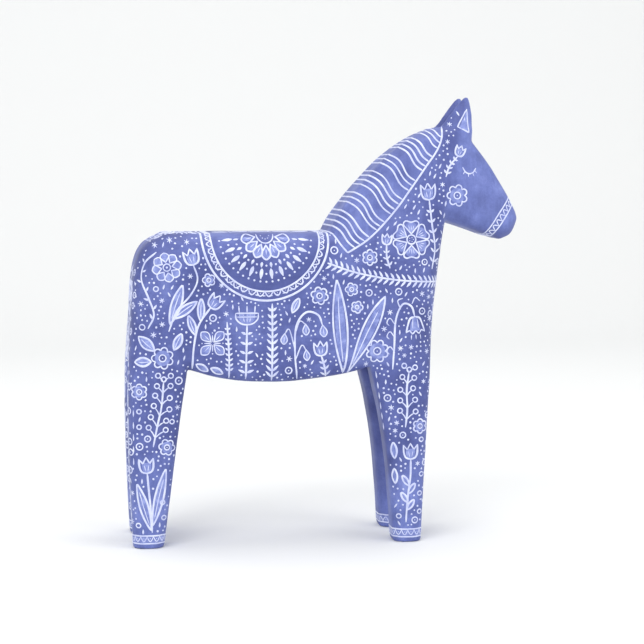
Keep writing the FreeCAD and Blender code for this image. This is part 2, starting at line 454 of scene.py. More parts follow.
def white_paint():
    """White liner paint, thin enough in places to let some blue through."""
    n = Nodes("white_liner_paint")
    cover = n.noise(EVEN, 160, 4, 0.6)
    tone = n.steps(cover, "Fac", (0.34, srgb(184, 191, 228)), (0.52, srgb(204, 210, 237)),
                   (0.66, srgb(217, 222, 242)))
    ridges = n.bump(n.noise(EVEN, 1400, 3, 0.6), 0.25, 0.0002)
    gloss = n.range(cover, "Fac", 0.3, 0.7, 0.55, 0.40)
    return n.finish(tone.outputs["Color"], ridges, gloss, (("Coat Weight", 0.15), ("Coat Roughness", 0.25)))


def thin_wash():
    """White thinned with much water, brushed inside the petals and leaves."""
    n = Nodes("thin_white_wash")
    cover = n.noise(EVEN, 210, 5, 0.65)
    tone = n.steps(cover, "Fac", (0.34, srgb(103, 115, 177)), (0.50, srgb(122, 134, 194)),
                   (0.66, srgb(148, 159, 212)))
    streaks = n.bump(n.noise((1, 1, 6), 500, 3, 0.6), 0.2, 0.0002)
    gloss = n.range(cover, "Fac", 0.3, 0.7, 0.62, 0.50)
    return n.finish(tone.outputs["Color"], streaks, gloss, (("Specular IOR Level", 0.3),))


def bare_wood():
    """Birch, for the dowels."""
    n = Nodes("birch")
    rings = n.noise((9, 9, 1), 60, 5, 0.65)
    tone = n.steps(rings, "Fac", (0.3, srgb(188, 148, 102)), (0.7, srgb(224, 192, 148)))
    return n.finish(tone.outputs["Color"], n.bump(rings, 0.2, 0.0003), settings=(("Roughness", 0.6),))


# ---- carved boards ------------------------------------------------------
# The line that closes the mane on each flank, from the ear down to the shoulder.
MANE_EDGE = ((80.0, 278.6), (75.5, 264.5), (66.0, 251.0), (55.8, 237.0), (43.4, 221.0), (27.0, 204.5),
             (11.8, 194.8))


def mane_edge_at(x):
    """Height of the mane's edge at a place along the horse."""
    edge = np.array(MANE_EDGE[::-1])
    return np.interp(x, edge[:, 0], edge[:, 1])


def wear_of(points):
    """How exposed the surface is at points: 1 on a sharp edge, 0 on a flat side."""
    reach = 3.0
    wood_short = BLANK.sample(points - BLANK.normals(points, 1.5) * reach) + reach
    return np.clip((wood_short - 0.7) / 1.6, 0, 1)


def tone_of(points):
    """How thin the paint is at points: 0 on the body, nearly 1 on the head and the lower legs."""
    x, _, z = points.T
    head = 0.95 * ramp(x - 0.25 * (z - 250), 82, 90) * ramp(z, 205, 214)
    legs = 0.9 * (1 - ramp(z, 18, 84))
    in_mane = (x > 4) & (x < 81) & (z > mane_edge_at(x))
    return np.maximum(np.maximum(head, legs), np.where(in_mane, 0.6, 0.0))


def finish_board(name, mesh, material):
    """Turns a carved bmesh into a painted piece."""
    data = bpy.data.meshes.new(name)
    mesh.to_mesh(data)
    mesh.free()
    points = np.array([v.co for v in data.vertices]) / MM
    for attribute, values in (("wear", wear_of(points)), ("tone", tone_of(points))):
        layer = data.attributes.new(attribute, "FLOAT", "POINT")
        layer.data.foreach_set("value", values.astype(np.float32))
    return new_piece(name, data, material, 38)


def build_horse():
    """The ten carved boards in place of their CAD nodes, and the wood of the dowels."""
    grain_axis = {"trunk": 0, "neck": 2, "leg": 2}
    paints = {part: blue_paint("blue_paint_" + part, axis) for part, axis in grain_axis.items()}
    for node, mesh in carved_pieces().items():
        piece = finish_board("carved_" + node, mesh, paints[node.split("_")[0]])
        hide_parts(node)
    birch = bare_wood()
    for node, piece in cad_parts.items():
        if "dowel" in node:
            piece.data.materials.clear()
            piece.data.materials.append(birch)


# ---- paint strokes laid on the carved surface ---------------------------
LINE = 1.35              # width of a liner-brush line
PRESSURE = 1.13          # how hard the brush is pressed in the pictures
STEP = 0.95              # spacing of the points along a stroke
DAB_STEP = 0.8           # the same along a short dab
# Cross sections: places across, as shares of half the width, each with its height over the wood.
SECTION = ((-1.0, -0.14), (-0.62, 0.16), (0.0, 0.24), (0.62, 0.16), (1.0, -0.14))
WASH_SECTION = ((-1.0, -0.12), (-0.55, 0.09), (0.0, 0.09), (0.55, 0.09), (1.0, -0.12))
DOT_SIDES = 9
# For each face: the axis looked along, the end of it that is seen, and the picture's own two axes.
FACES = {"right": (1, -1, 0, 2), "left": (1, 1, 0, 2), "front": (0, 1, 1, 2), "rear": (0, -1, 1, 2),
         "top": (2, 1, 0, 1)}
REACH = (138.0, 46.0, 303.0)           # just outside the horse along each axis


def lengths_along(points):
    """How far along a line each of its points is."""
    return np.concatenate([[0], np.cumsum(np.linalg.norm(np.diff(points, axis=0), axis=1))])


def spaced(points, step=STEP, closed=False):
    """The same line with evenly spaced points."""
    p = np.asarray(points, float)
    if closed:
        p = np.vstack([p, p[:1]])
    lengths = lengths_along(p)
    count = max(int(round(lengths[-1] / step)), 6 if closed else 3)
    at = np.linspace(0, lengths[-1], count, endpoint=not closed)
    return np.stack([np.interp(at, lengths, p[:, i]) for i in range(p.shape[1])], axis=1)


def settle(points):
    """Moves points near the carved surface onto it."""
    p = np.array(points, float)
    for _ in range(4):
        p -= BLANK.normals(p, 0.8) * BLANK.sample(p)[:, None]
    return p


def shine_on(points, face):
    """Where points of a flat picture land on a face of the horse, nan where they miss it."""
    flat = np.asarray(points, float)
    axis, sign, first, second = FACES[face]
    place = np.zeros((len(flat), 3))
    place[:, first] = flat[:, 0]
    place[:, second] = flat[:, 1]
    found = np.full(len(flat), np.nan)
    stride = 0.9
    for depth in np.arange(REACH[axis], -REACH[axis] if axis == 0 else 0, -stride):
        place[:, axis] = sign * depth
        hit = (BLANK.sample(place) < 0) & np.isnan(found)
        found[hit] = depth
        if not np.isnan(found).any():
            break
    low, high = found.copy(), found + stride
    for _ in range(8):
        middle = (low + high) / 2
        place[:, axis] = sign * np.nan_to_num(middle)
        within = BLANK.sample(place) < 0
        low = np.where(within, middle, low)
        high = np.where(within, high, middle)
    place[:, axis] = sign * (low + high) / 2
    return place


def sides_of(points, closed=False):
    """Directions along the surface, square to a line on it."""
    if closed:
        tangents = np.roll(points, -1, axis=0) - np.roll(points, 1, axis=0)
    else:
        tangents = np.gradient(points, axis=0)
    return unit(np.cross(BLANK.normals(points), tangents))


class Paint:
    """Closed little solids of white paint, gathered into one mesh."""

    def __init__(self):
        self.vertices = []
        self.faces = []

    def stroke(self, points, widths, closed=False):
        """A raised ribbon along points on the surface."""
        if np.isnan(points).any():
            self.broken_stroke(points, widths, closed)
        elif len(points) >= 3:
            sides = sides_of(points, closed)
            normals = BLANK.normals(points)
            lift = np.clip(widths / LINE, 0.45, 1.0)
            start = len(self.vertices)
            for across, height in SECTION:
                raised = np.where(height > 0, height * lift, height)[:, None]
                self.vertices.extend(points + sides * (across * widths / 2)[:, None] + normals * raised)
            self.wall(start, len(points), len(SECTION), closed)

    def wall(self, start, count, rows, closed=False):
        """Faces round rows of points that run side by side, with caps on an open one."""
        for i in range(count if closed else count - 1):
            j = (i + 1) % count
            for r in range(rows):
                q = (r + 1) % rows
                self.faces.append((start + r * count + i, start + r * count + j,
                                   start + q * count + j, start + q * count + i))
        if not closed:
            self.faces.append([start + r * count for r in range(rows)])
            self.faces.append([start + r * count + count - 1 for r in reversed(range(rows))])

    def wash(self, points, widths):
        """A thin coat that follows the surface, along a middle line."""
        if np.isnan(points).any():
            return
        sides = sides_of(points)
        start = len(self.vertices)
        for across, height in WASH_SECTION:
            row = settle(points + sides * (across * widths / 2)[:, None])
            self.vertices.extend(row + BLANK.normals(row) * height)
        self.wall(start, len(points), len(WASH_SECTION))

    def broken_stroke(self, points, widths, closed):
        """A stroke that leaves the horse in places, as its separate parts."""
        fine = ~np.isnan(points).any(axis=1)
        if closed and fine.any():
            first_gap = int(np.argmin(fine))
            points, widths, fine = (np.roll(a, -first_gap, axis=0) for a in (points, widths, fine))
        i = 0
        while i < len(fine):
            j = i
            while j < len(fine) and fine[j]:
                j += 1
            if j - i >= 3:
                self.stroke(points[i:j], widths[i:j])
            i = j + 1

    def dab(self, ends, width, thin):
        """A short stroke between two places near the surface."""
        points = settle(spaced(ends, DAB_STEP))
        self.stroke(points, dab_widths(points, width, thin))

    def dot(self, centre, radius):
        """A small dome."""
        if np.isnan(centre).any():
            return
        normal = BLANK.normals(centre[None])[0]
        side = np.cross(normal, (0.3, 0.2, 0.9))
        side /= np.linalg.norm(side)
        other = np.cross(normal, side)
        start = len(self.vertices)
        turns = 2 * np.pi * np.arange(DOT_SIDES) / DOT_SIDES
        rim = np.cos(turns)[:, None] * side + np.sin(turns)[:, None] * other
        height = min(0.30, 0.42 * radius)
        self.vertices.extend(centre + rim * radius - normal * 0.14)
        self.vertices.extend(centre + rim * radius * 0.62 + normal * height * 0.75)
        self.vertices.append(centre + normal * height)
        for i in range(DOT_SIDES):
            j = (i + 1) % DOT_SIDES
            self.faces.append((start + i, start + j, start + DOT_SIDES + j, start + DOT_SIDES + i))
            self.faces.append((start + DOT_SIDES + i, start + DOT_SIDES + j, start + 2 * DOT_SIDES))
        self.faces.append([start + i for i in reversed(range(DOT_SIDES))])

    def make(self, name, material):
        """The paint gathered so far as a piece."""
        mesh = bpy.data.meshes.new(name)
        mesh.from_pydata((np.array(self.vertices) * MM).tolist(), [], [list(f) for f in self.faces])
        turned_out = bmesh.new()
        turned_out.from_mesh(mesh)
        bmesh.ops.recalc_face_normals(turned_out, faces=turned_out.faces[:])
        turned_out.to_mesh(mesh)
        turned_out.free()
        new_piece(name, mesh, material, 70)


# ---- a flat picture made of strokes -------------------------------------
def turned(points, at, turn=0.0, size=1.0):
    """A motif's points, scaled, turned anticlockwise by degrees and moved to a place."""
    a = math.radians(turn)
    p = np.asarray(points, float) * size
    return np.stack([p[:, 0] * math.cos(a) - p[:, 1] * math.sin(a) + at[0],
                     p[:, 0] * math.sin(a) + p[:, 1] * math.cos(a) + at[1]], axis=1)


def heading(start, end):
    """Direction from one place to another, in degrees anticlockwise from the first axis."""
    return math.degrees(math.atan2(end[1] - start[1], end[0] - start[0]))


def mirrored(points):
    return [(-x, y) for x, y in points]


def symmetric(half, middle):
    """A line from its left half and the point in its middle."""
    return [*half, middle, *reversed(mirrored(half))]


def dab_widths(points, width, thin):
    """Widths of a dab along its points. thin is the share of its width that is left at its ends."""
    share = np.linspace(0, 1, len(points))
    return width * (thin + (1 - thin) * np.sin(np.pi * share ** 0.8))


def circle(radius):
    t = 2 * np.pi * np.arange(24) / 24
    return np.stack([radius * np.cos(t), radius * np.sin(t)], axis=1)


def petal_bulge(fullest):
    """Places along a petal, and its breadth there. It is broadest at a share of its length."""
    s = np.linspace(0, 1, 15)
    return s, np.sin(np.pi * s ** (math.log(0.5) / math.log(fullest))) ** 0.85


def petal_loop(start, end, width, fullest):
    """A closed petal or leaf along the first axis."""
    s, bulge = petal_bulge(fullest)
    upper = np.stack([start + (end - start) * s, width / 2 * bulge], axis=1)
    lower = upper[::-1][1:-1] * (1, -1)
    return np.vstack([upper, lower])


class Motif:
    """Draws into a sketch with a motif's own scale, turn and place."""

    def __init__(self, sketch, at, turn=0.0, size=1.0):
        self.sketch = sketch
        self.where = (at, turn, size)

    def line(self, points, width=LINE, **how):
        """A line that goes straight from point to point."""
        self.sketch.line(turned(points, *self.where), width, smooth=False, **how)

    def both(self, points, width=LINE, **how):
        """A line and its mirror image."""
        self.line(points, width, **how)
        self.line(mirrored(points), width, **how)

    def wash(self, points, widths):
        self.sketch.wash(turned(points, *self.where), self.where[2] * np.array(widths))

    def dab(self, start, end, width):
        self.sketch.drop(*turned([start, end], *self.where), width)

    def dot(self, x, y, radius):
        self.sketch.dot(turned([(x, y)], *self.where)[0], radius)


class Sketch:
    """Strokes, washes and dots in a flat picture, in millimetres, each in a named area."""

    def __init__(self, area, seed):
        self.area = area
        self.random = random.Random(seed)
        self.strokes = []
        self.washes = []
        self.dots = []

    def line(self, points, width=LINE, closed=False, smooth=True, ends=(0.5, 0.5)):
        """A brush line. ends are the shares of its width that are left at its two ends."""
        if smooth and not closed:
            points = smooth_line(*points, steps=6)
        points = spaced(points, closed=closed)
        share = np.linspace(0, 1, len(points))
        pressure = 1 + 0.09 * np.sin(2 * np.pi * (share * self.random.choice((1, 2)) + self.random.random()))
        widths = width * PRESSURE * self.random.uniform(0.93, 1.07) * pressure
        if not closed:
            fade = 1.3 / len(points) + 0.04
            widths = widths * np.interp(share, (0, fade, 1 - fade, 1), (ends[0], 1, 1, ends[1]))
        self.strokes.append((self.area, points, widths, closed))

    def drop(self, start, end, width):
        """A filled leaf-like dab, thin at both ends."""
        points = spaced([start, end], DAB_STEP)
        self.strokes.append((self.area, points, dab_widths(points, width, 0.22), False))

    def dash(self, at, reach, turn):
        """A dab across a place."""
        self.drop(*turned([(-reach, 0), (reach, 0)], at, turn), 1.5)

    def wash(self, points, widths):
        """A thin wash along a middle line."""
        self.washes.append((self.area, np.asarray(points, float), np.asarray(widths, float)))

    def dot(self, at, radius):
        self.dots.append((self.area, np.array(at, float), radius))

    def ring(self, at, radius, width=0.95):
        self.line(turned(circle(radius), at), width, closed=True)

    def petal(self, at, turn, start, end, width, fullest=0.62, brush=1.0):
        """An outlined petal or leaf, with a thin wash inside the outline."""
        self.line(turned(petal_loop(start, end, width, fullest), at, turn), brush, closed=True)
        s, bulge = petal_bulge(fullest)
        middle = np.stack([start + (end - start) * s, 0 * s], axis=1)
        self.wash(turned(middle, at, turn), np.maximum(width * bulge, 0.3))

    def leaf(self, start, end, width, vein=True, fullest=0.5):
        """An outlined leaf, with a middle vein or without."""
        turn = heading(start, end)
        length = float(np.hypot(*np.subtract(end, start)))
        self.petal(start, turn, 0, length, width, fullest, LINE)
        if vein:
            middle = [(0.12 * length, 0), (0.5 * length, 0.05 * width), (0.82 * length, 0)]
            self.line(turned(middle, start, turn), 0.8)

    def daisy(self, at, radius, turn=22.5):
        """A round flower with outlined petals and a ringed heart."""
        petals = 8
        wide = 1.55 * radius * math.sin(math.pi / petals)
        for i in range(petals):
            self.petal(at, turn + 360 * i / petals, radius * 0.36, radius, wide, brush=0.9)
        self.ring(at, radius * 0.25, 0.9)
        self.dot(at, max(0.5, radius * 0.09))

    def blossom(self, at, radius, lobes=6, turn=0.0):
        """A small flower with a scalloped edge and an open heart."""
        t = np.linspace(0, 2 * np.pi, 8 * lobes, endpoint=False)
        edge = radius * (0.70 + 0.30 * np.abs(np.sin(lobes * t / 2)) ** 0.7)
        self.line(turned(np.stack([edge * np.cos(t), edge * np.sin(t)], axis=1), at, turn), 1.05, closed=True)
        self.ring(at, radius * 0.32)
        self.dot(at, 0.5)
        ring = turned(circle(radius * 0.55), at)
        self.wash(np.vstack([ring, ring[:1]]), np.full(len(ring) + 1, 0.42 * radius))

    def big_blossom(self, at, radius, turn):
        """A large flower with notched, hatched petals."""
        petals = 6
        spread = 2 * radius * math.sin(math.pi / petals) * 0.94
        half = [(0.30, 0.0), (0.52, 0.21), (0.80, 0.45), (0.97, 0.30), (0.90, 0.0)]
        whole = half + [(x, -y) for x, y in half[-2::-1]]
        outline = smooth_line(*((x * radius, y * spread) for x, y in whole), steps=5)[:-1]
        s, bulge = petal_bulge(0.68)
        for i in range(petals):
            petal = Motif(self, at, turn + 360 * i / petals)
            petal.line(outline, 1.0, closed=True)
            petal.wash(np.stack([radius * (0.30 + 0.62 * s), 0 * s], axis=1),
                       np.maximum(0.86 * spread * bulge, 0.3))
            for y in (-0.16, 0.0, 0.16):
                petal.line([(radius * 0.48, y * spread * 0.5), (radius * 0.74, y * spread)], 0.7)
        self.ring(at, radius * 0.24, 1.0)
        for i in range(5):
            Motif(self, at, 72 * i, radius).dot(0.11, 0, 0.42)

    def star_blossom(self, at, radius):
        """Four pointed petals with a burst of stamens between them."""
        for turn in (45, 135, 225, 315):
            self.petal(at, turn, radius * 0.12, radius, radius * 0.56, 0.6, 0.95)
            Motif(self, at, turn, radius).line([(0.25, 0), (0.72, 0)], 0.7)
            between = Motif(self, at, turn + 45, radius)
            between.line([(0.1, 0), (0.52, 0)], 0.8)
            between.dot(0.66, 0, 0.55)

    def tulip(self, at, size, turn=0.0):
        """A tulip cup standing on its stem's end, upright at turn 0."""
        cup = Motif(self, at, turn, size)
        cup.both(smooth_line((0.0, 0.0), (-0.30, 0.10), (-0.44, 0.42), (-0.46, 0.95)), ends=(0.8, 0.6))
        cup.line(symmetric([(-0.46, 0.95), (-0.22, 0.62)], (0.0, 1.02)), 1.0)
        cup.wash([(0, 0.05), (0, 0.22), (0, 0.45), (0, 0.68)], (0.45, 0.74, 0.84, 0.80))
        cup.both([(-0.07, 0.14), (-0.14, 0.52)], 0.75)

    def goblet(self, at, size):
        """A bowl-shaped flower with a banded rim and three stamens."""
        bowl = Motif(self, at, 0.0, size)
        bowl.line(smooth_line(*symmetric([(-0.62, 0.62), (-0.58, 0.30), (-0.32, 0.06)], (0.0, 0.0))), 1.15)
        bowl.line([(-0.62, 0.62), (0.62, 0.62)], 1.1)
        bowl.wash([(0, 0.05), (0, 0.14), (0, 0.30), (0, 0.60)], (0.5, 0.86, 1.12, 1.22))
        bowl.line([(-0.56, 0.42), (0.56, 0.42)], 0.8)
        for i in range(-2, 3):
            bowl.dot(0.20 * i, 0.52, 0.42)
        for x in (-0.24, 0.0, 0.24):
            bowl.line([(x * 0.8, 0.38), (x * 0.6, 0.14)], 0.75)
        for x in (-0.42, 0.0, 0.42):
            bowl.line([(x, 0.66), (x * 1.06, 1.02)], 0.95)
            bowl.dot(x * 1.08, 1.16, 0.72)

    def bell(self, at, size, turn):
        """A hanging bell flower, its top at a place and its mouth below."""
        cup = Motif(self, at, turn, size)
        cup.both(smooth_line((0.0, 0.0), (-0.26, -0.08), (-0.40, -0.40), (-0.52, -0.80)))
        cup.line(symmetric([(-0.52, -0.80), (-0.34, -0.68), (-0.17, -0.88)], (0.0, -0.70)), 1.0)
        cup.wash([(0, -0.06), (0, -0.30), (0, -0.52), (0, -0.72)], (0.34, 0.68, 0.82, 0.94))
        cup.both([(-0.12, -0.12), (-0.17, -0.58)], 0.75)
        for x in (-0.24, 0.0, 0.24):
            cup.dab((x, -0.90), (x * 1.1, -1.16), 0.9)

    def snowdrop(self, at, size, turn):
        """A small closed bud hanging from a place."""
        self.petal(at, turn - 90, 0, size, size * 0.58, 0.6, 0.9)
        Motif(self, at, turn - 90, size).line([(0.3, 0), (0.95, 0)], 0.7)

    def sprig(self, points, leaf, gap, width, lean=48.0, start=0.12, pairs=True):
        """A stem with dabbed leaves, in pairs or turn by turn."""
        self.line(points)
        step = 0.5
        path = spaced(smooth_line(*points), step)
        count = int(len(path) * step * (1 - start) / gap)
        for i in range(count):
            at = int(len(path) * start + i * gap / step)
            if at + 1 >= len(path):
                break
            turn = heading(path[at - 1], path[at + 1])
            size = leaf * (1 - 0.35 * i / count)
            for side in (1, -1) if pairs else ((1, -1)[i % 2],):
                self.drop(*turned([(0.6, 0), (size, 0)], path[at], turn + side * lean), width)

    def berries(self, points, twig, gap):
        """A branching stem with a ring at the end of every twig."""
        self.line(points)
        step, lean, berry = 0.5, 42.0, 1.65
        path = spaced(smooth_line(*points), step)
        count = int(len(path) * step * 0.86 / gap)
        for i in range(count + 1):
            at = min(int(len(path) * 0.14 + i * gap / step), len(path) - 2)
            for side in (1, -1):
                turn = heading(path[at - 1], path[at + 1]) + side * lean
                size = twig * (1 - 0.30 * i / max(count, 1)) * self.random.uniform(0.88, 1.08)
                self.line(turned([(0, 0), (size * 0.55, -side * 0.35), (size, 0)], path[at], turn), 0.9)
                self.ring(turned([(size + berry, 0)], path[at], turn)[0], berry)
        self.ring(turned([(berry, 0)], path[-1], heading(path[-3], path[-1]))[0], berry)

    def star(self, at, radius, turn):
        """Three short lines crossed over a place."""
        for i in range(3):
            Motif(self, at, turn + 60 * i).line([(-radius, 0), (radius, 0)], 0.85)


# ---- the picture on each flank ------------------------------------------
SADDLE_CENTRE = (-42.7, 208.0)
SADDLE_HALF = (42.4, 44.2)           # half its length on the back, and how far it hangs down
GARLAND = ((-2.0, 188.2), (18.0, 181.5), (45.5, 176.4), (77.0, 174.4))
NOSEBAND = ((110.0, 203.5), (120.5, 218.5), (129.2, 230.0))
HOOF_TOP = 11.5                      # the lace round the hooves ends below this height


def rump_flowers(s):
    s.area = "trunk"
    s.daisy((-108.0, 186.0), 9.6, 12)
    s.tulip((-90.6, 187.6), 10.5, 14)
    s.line([(-90.8, 187.8), (-88.0, 178.0), (-92.5, 168.0), (-102.0, 157.0), (-107.0, 144.0)])
    s.leaf((-106.2, 149.0), (-97.8, 174.5), 6.4)
    s.leaf((-104.0, 152.5), (-88.4, 163.6), 5.4)
    s.sprig([(-120.5, 146.0), (-116.6, 155.0), (-120.0, 166.0), (-124.4, 178.0), (-122.0, 189.0),
             (-114.6, 196.0)], leaf=4.4, gap=6.4, pairs=False, width=1.9)
    s.ring((-124.2, 146.8), 1.8)
    s.ring((-115.2, 172.0), 1.6)
    s.blossom((-80.6, 177.6), 4.2, 5)
    s.blossom((-111.2, 126.6), 7.2, 7)
    s.leaf((-116.6, 131.6), (-126.6, 140.6), 6.2)
    s.leaf((-118.8, 124.4), (-129.2, 124.0), 5.6)
    s.leaf((-103.6, 132.0), (-98.6, 142.6), 5.0)


def belly_meadow(s):
    s.area = "trunk"
    s.line([(-91.6, 119.0), (-90.6, 134.0), (-87.4, 148.0), (-79.5, 159.6)])
    s.tulip((-79.3, 159.4), 10.0, -38)
    s.leaf((-89.4, 141.5), (-94.2, 154.5), 4.4)
    s.leaf((-86.0, 150.5), (-85.6, 165.5), 4.4)
    s.star_blossom((-78.4, 136.0), 10.4)
    s.leaf((-89.0, 122.0), (-81.2, 117.4), 4.0, vein=False)
    s.leaf((-79.4, 119.4), (-71.6, 115.6), 3.8, vein=False)
    s.sprig([(-67.4, 112.6), (-67.6, 130.0), (-68.8, 150.0)], leaf=3.6, gap=3.4, width=1.8)
    s.goblet((-55.6, 148.0), 12.2)
    s.sprig([(-56.4, 111.8), (-56.0, 130.0), (-55.6, 148.0)], leaf=5.6, gap=6.2, lean=66, width=2.2)
    s.sprig([(-39.2, 110.6), (-38.8, 136.0), (-38.9, 161.8)], leaf=6.2, gap=4.3, lean=44, width=1.95,
            start=0.04)
    s.line([(-22.2, 111.4), (-23.8, 128.0), (-23.0, 146.5), (-16.4, 155.8), (-8.4, 154.0), (-5.4, 147.0)])
    s.snowdrop((-5.4, 147.4), 8.2, 8)
    for fork, bend, tip, size, turn in (((-23.2, 143.0), (-20.6, 150.0), (-16.8, 147.8), 7.4, 4),
                                        ((-23.8, 131.0), (-27.6, 144.6), (-30.6, 141.6), 7.4, -6),
                                        ((-23.6, 124.0), (-19.4, 134.0), (-16.4, 130.6), 7.2, 6)):
        s.line([fork, bend, tip], 0.9)
        s.snowdrop((tip[0], round(tip[1] + 0.3)), size, turn)
    s.leaf((-25.6, 155.6), (-21.0, 165.2), 4.2)
    s.tulip((-6.4, 126.8), 9.6, 4)
    s.sprig([(-2.6, 111.8), (-4.0, 119.0), (-6.3, 127.0)], leaf=4.6, gap=4.0, width=1.8)
    s.blossom((-7.4, 166.6), 5.8, 6, 15)
    s.leaf((8.8, 115.0), (4.2, 177.2), 9.4)
    s.leaf((11.8, 114.6), (37.0, 165.6), 9.2, fullest=0.6)
    s.blossom((14.2, 170.6), 4.3, 5)
    s.blossom((17.8, 158.8), 4.0, 5, 30)
    s.blossom((31.4, 129.4), 7.6, 8)
    s.line([(41.8, 117.0), (43.0, 132.0), (44.2, 150.0), (49.0, 160.2), (55.0, 158.8), (57.4, 151.6)])
    s.bell((57.4, 151.8), 13.0, 3)
    for z in (128.0, 138.0, 147.0):
        s.line([(43.4, z), (40.2, z + 4.2), (38.0, z + 1.2), (39.6, z - 0.8)], 0.85)
    s.line([(47.6, 157.0), (45.6, 162.6), (49.2, 164.2)], 0.85)
    s.line([(55.4, 160.4), (57.8, 164.6), (61.2, 162.2)], 0.85)


def neck_flowers(s):
    s.area = "neck"
    s.big_blossom((55.6, 203.2), 12.8, 30)
    s.tulip((68.2, 229.6), 11.0, 4)
    s.sprig([(70.4, 183.2), (72.6, 197.0), (70.2, 214.0), (68.4, 229.8)], leaf=5.0, gap=6.6, width=2.0,
            start=0.10)
    s.blossom((26.8, 191.6), 5.2)
    s.tulip((38.2, 200.0), 7.2, -6)
    s.sprig([(40.6, 184.2), (38.4, 192.0), (38.4, 200.2)], leaf=3.8, gap=4.2, width=1.6)
    s.blossom((88.2, 232.4), 7.2, 7)
    s.tulip((89.2, 258.8), 7.4, -22)
    s.sprig([(80.4, 244.8), (83.2, 252.2), (89.2, 259.0)], leaf=3.6, gap=3.6, width=1.8)
    for x, z, turn in ((76.4, 252.0, 62), (72.6, 245.4, 62), (61.6, 232.6, 58), (58.0, 224.6, 60),
                       (80.0, 227.0, 80), (79.6, 219.0, 84), (61.0, 221.4, 66), (44.6, 214.0, 52)):
        s.dash((x, z), 1.9, turn)


def sleeping_eye(s):
    s.area = "head"
    lid = smooth_line((92.2, 251.4), (94.2, 248.2), (97.0, 247.0), (99.8, 248.0), (101.6, 250.8), steps=6)
    s.line(lid, 1.0, smooth=False)
    for at, turn in ((5, -122), (11, -98), (17, -74), (21, -52)):
        Motif(s, lid[at], turn).line([(0.2, 0), (2.2, 0)], 0.7)


def ear_mark(s):
    s.area = "head"
    s.line([(96.6, 290.6), (89.8, 278.6), (97.4, 274.6), (96.6, 290.6)], 1.0, smooth=False)
    s.wash([(96.2, 288.8), (95.0, 283.0), (93.6, 276.6)], (0.6, 3.2, 6.4))
    s.line([(95.0, 285.0), (94.6, 278.6)], 0.75, smooth=False)


def front_leg_flowers(s):
    s.area = "leg_front"
    s.berries([(50.6, 78.0), (51.8, 90.0), (51.4, 103.0), (53.0, 115.0)], twig=6.2, gap=7.8)
    s.blossom((60.6, 78.6), 4.9)
    s.tulip((54.4, 56.4), 10.4, 2)
    s.line([(51.4, 13.6), (52.4, 30.0), (54.2, 44.0), (54.4, 56.6)])
    for z, side in ((22.0, 1), (27.0, -1), (33.0, 1), (38.5, -1)):
        x = 51.8 + 0.055 * (z - 13)
        s.leaf((x, z), (x + side * 4.6, z + 7.0), 2.9, vein=False)
    s.leaf((43.6, 57.0), (42.4, 68.0), 3.6, vein=False)
    s.leaf((44.2, 40.0), (43.4, 50.0), 3.2, vein=False)
    for z in range(76, 112, 7):
        edge = 44.5 - 0.156 * (z - 5.6)
        s.drop((edge + 3.4, z), (edge + 2.7, z + 4.6), 1.35)
    for place in ((61.6, 69.6), (60.8, 20.6), (46.6, 17.8), (60.8, 33.0), (62.0, 46.0)):
        s.ring(place, 1.5)


def hind_leg_flowers(s):
    s.area = "leg_hind"
    s.blossom((-126.6, 104.6), 5.2)
    s.berries([(-117.6, 68.0), (-114.8, 82.0), (-112.0, 95.0), (-110.6, 111.0)], twig=6.8, gap=7.4)
    s.blossom((-108.6, 67.6), 5.4, 6, 20)
    s.ring((-126.6, 68.4), 2.2)
    s.dot((-126.6, 68.4), 0.6)
    s.tulip((-121.8, 50.6), 10.4, 4)
    s.line([(-118.6, 11.0), (-119.2, 24.0), (-120.6, 38.0), (-121.7, 50.8)])
    s.leaf((-119.4, 12.6), (-128.4, 43.6), 5.6)
    s.leaf((-118.2, 15.6), (-109.4, 53.4), 5.8)
    for z in range(56, 118, 8):
        s.drop((-105.6 + 0.15 * z, z), (-104.9 + 0.15 * z, z + 4.6), 1.35)
        if z > 112 or z < 96:
            s.drop((-130.4, z), (-130.5, z + 4.6), 1.3)
    for place in ((-126.8, 81.4), (-110.8, 20.6), (-127.6, 15.8), (-111.6, 31.0), (-105.2, 84.6),
                  (-126.8, 91.6)):
        s.ring(place, 1.5)


# ---- small marks over the ground between the motifs ---------------------
class Clearance:
    """How far each place of the flat picture is from paint, up to a few millimetres."""

    def __init__(self):
        self.cell = 0.4
        self.low = np.array((-140.0, -50.0))
        high = (140.0, 305.0)
        self.free = np.full([int((high[i] - self.low[i]) / self.cell) for i in range(2)], 9.0)

    def add(self, points, radius):
        """Marks round spots of paint."""
        reach = int(7.0 / self.cell)
        for p in np.atleast_2d(points):
            i, j = ((p - self.low) / self.cell).astype(int)
            a, b = max(i - reach, 0), max(j - reach, 0)
            window = self.free[a:i + reach + 1, b:j + reach + 1]
            x = self.low[0] + self.cell * (a + np.arange(window.shape[0]) + 0.5)
            z = self.low[1] + self.cell * (b + np.arange(window.shape[1]) + 0.5)
            gap = np.hypot(x[:, None] - p[0], z[None, :] - p[1]) - radius
            np.minimum(window, gap, out=window)

    def at(self, x, z):
        """Free ground round a place."""
        i, j = ((np.array((x, z)) - self.low) / self.cell).astype(int)
        return self.free[i, j]


def in_saddle(x, z):
    a, b = SADDLE_HALF[0] + 1.5, SADDLE_HALF[1] + 1.5
    return ((x - SADDLE_CENTRE[0]) / a) ** 2 + ((z - SADDLE_CENTRE[1]) / b) ** 2 < 1


